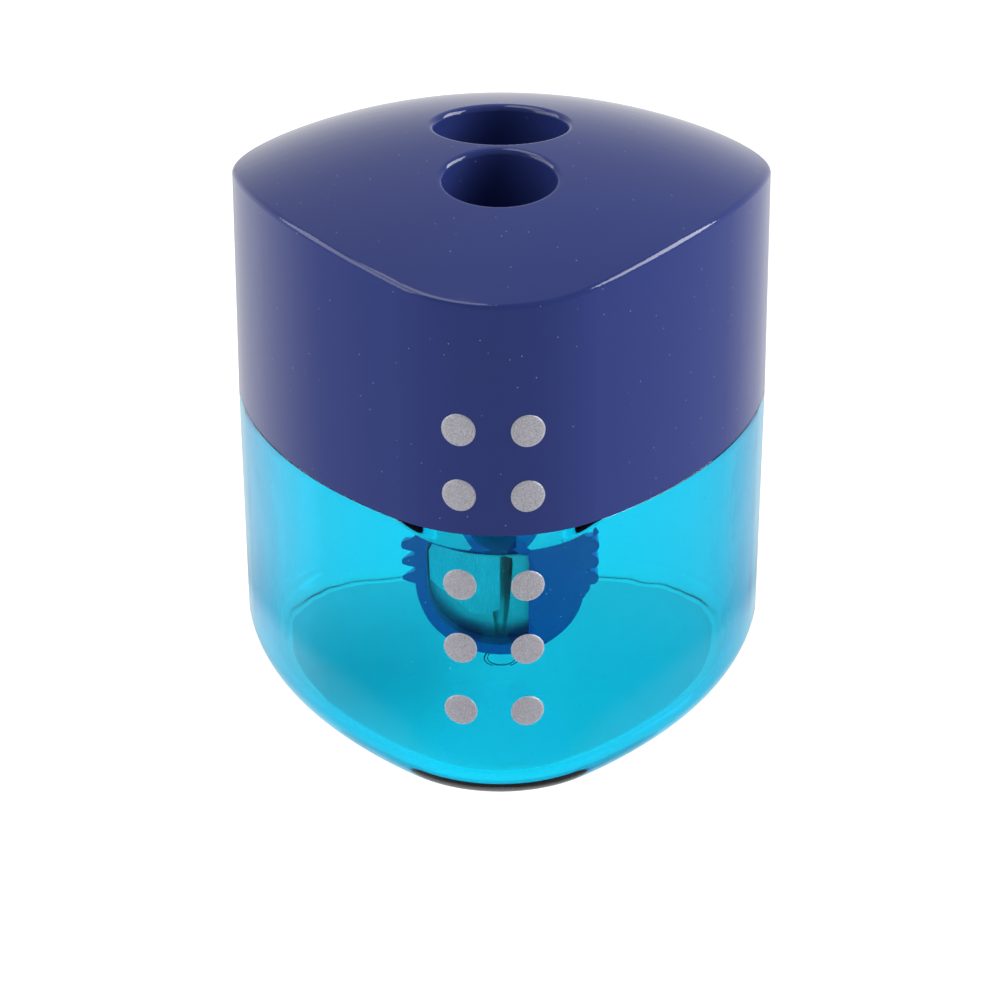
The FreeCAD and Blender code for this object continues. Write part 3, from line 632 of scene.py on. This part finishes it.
def ground_steel():
    """Bright metal: colour, roughness and height follow noise drawn out lengthways."""
    material, tree, shader = new_material("blade_steel")
    place = add(tree, "ShaderNodeTexCoord").outputs["Object"]
    marks = stretched_noise(tree, place, GRINDING_MARK, GRINDING_STRETCH)
    tree.links.new(blend_colour(tree, marks, STEEL_DULL, STEEL_BRIGHT),
                   shader.inputs["Base Color"])
    shader.inputs["Metallic"].default_value = 1.0
    tree.links.new(ranged(tree, marks, *STEEL_ROUGHNESS), shader.inputs["Roughness"])
    bump(tree, shader, marks, GRINDING_DEPTH)
    return material


finish_nodes(ground_steel(), "standard_blade", "jumbo_blade")


# --- Blade screws ---------------------------------------------------------------------------
# Two turned steel screws with slotted, flat cylindrical heads and a yellow passivated zinc
# coat. Each goes through its blade into the block.

ZINC_YELLOW = (0.62, 0.52, 0.27)
ZINC_GREY = (0.50, 0.47, 0.38)
TURNING_MARK = 0.12 * MM
TURNING_DEPTH = 0.003 * MM
ZINC_ROUGHNESS = (0.2, 0.38)


def plated_steel():
    """Metal between grey and yellow zinc, by the same noise as its roughness and height."""
    material, tree, shader = new_material("screw_steel")
    place = add(tree, "ShaderNodeTexCoord").outputs["Object"]
    patch = wave_noise(tree, place, TURNING_MARK, detail=5.0)
    tree.links.new(blend_colour(tree, patch, ZINC_GREY, ZINC_YELLOW),
                   shader.inputs["Base Color"])
    shader.inputs["Metallic"].default_value = 1.0
    tree.links.new(ranged(tree, patch, *ZINC_ROUGHNESS), shader.inputs["Roughness"])
    bump(tree, shader, patch, TURNING_DEPTH)
    return material


finish_nodes(plated_steel(), "standard_blade_screw", "jumbo_blade_screw")


# --- Grip dots ------------------------------------------------------------------------------
# Ten round spots of thick silver-grey paint printed on the front corner, four on the cap and
# six on the container. The paint is a little domed and its edge is a little uneven.

CAP_DRAFT = math.radians(0.8)
DOT_RADIUS = 1.3 * MM
DOT_THICKNESS = 0.1 * MM
DOT_BITE = 0.01 * MM
DOT_RINGS, DOT_SPOKES = 14, 96
BACK_RING_STEP = 4
DOT_RAGGED = 0.012
DOT_WAVES = (3, 7, 17)
DOT_SILVER = (0.76, 0.75, 0.83)
DOT_SHADOW = (0.34, 0.335, 0.385)
FLAKE_SIZE = 0.09 * MM
FLAKE_DEPTH = 0.012 * MM
FLAKE_CONTRAST = (-0.6, 1.6)
PAINT_METALLIC, PAINT_ROUGHNESS = 0.25, 0.45


def front_wall(x, z):
    """Where the front corner's outer face lies along Y: minus the sum of the corner's
    distance and the height of its arc at x, where the cap's arc shrinks with height by its
    draft."""
    radius = CORNER_RADIUS - np.maximum(z - SEAM, 0.0) * math.tan(CAP_DRAFT)
    return -(corner_spread + np.sqrt(radius ** 2 - x ** 2))


def paint_dot(name, node_name, index):
    """A domed spot in polar steps about its middle. The edge radius is the dot's, less a
    small share, plus that share of half a sum of three sines, each over its count of waves.
    The paint's thickness is its full one times the square root of one less the eighth power
    of the ring's share, and every few rings serve again for the flat back."""
    low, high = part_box(node_name)
    middle_x, middle_z = (low[0] + high[0]) / 2, (low[2] + high[2]) / 2
    spokes = np.linspace(0.0, 2 * math.pi, DOT_SPOKES, endpoint=False)
    ragged = sum(np.sin(n * spokes + index * n) / n for n in DOT_WAVES)
    edge = DOT_RADIUS * (1.0 - DOT_RAGGED + DOT_RAGGED * ragged / 2)
    share = np.linspace(0.0, 1.0, DOT_RINGS)

    def face(rings, proud):
        """One ring on the corner's face, at a share of the edge radius, stood proud of it."""
        x = middle_x + rings * edge * np.cos(spokes)
        z = middle_z + rings * edge * np.sin(spokes)
        return np.column_stack([x, front_wall(x, z) - proud, z])

    loops = [face(s, DOT_THICKNESS * math.sqrt(1 - s ** 8)) for s in share]
    loops += [face(s, -DOT_BITE) for s in share[::-BACK_RING_STEP]] + [face(0.0, -DOT_BITE)]
    return skin(name, [ring[::-1] for ring in loops[::-1]])


def silver_paint():
    """Slightly metallic grey: flakes are noise with its contrast raised, and lie uneven."""
    material, tree, shader = new_material("dot_paint")
    place = add(tree, "ShaderNodeTexCoord").outputs["Object"]
    flake = wave_noise(tree, place, FLAKE_SIZE, detail=3.0)
    contrast = ranged(tree, flake, *FLAKE_CONTRAST)
    tree.links.new(blend_colour(tree, contrast, DOT_SHADOW, DOT_SILVER),
                   shader.inputs["Base Color"])
    shader.inputs["Metallic"].default_value = PAINT_METALLIC
    shader.inputs["Roughness"].default_value = PAINT_ROUGHNESS
    bump(tree, shader, flake, FLAKE_DEPTH)
    return material


paint = silver_paint()
dot_nodes = ([("cap", f"cap_dot_{n}") for n in range(1, 5)]
             + [("container", f"container_dot_{n}") for n in range(1, 7)])
for index, (body, node_name) in enumerate(dot_nodes):
    dot = paint_dot(f"{node_name}_paint", node_name, index)
    dot.data.materials.append(paint)
    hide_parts(node_name)
    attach(dot, body)
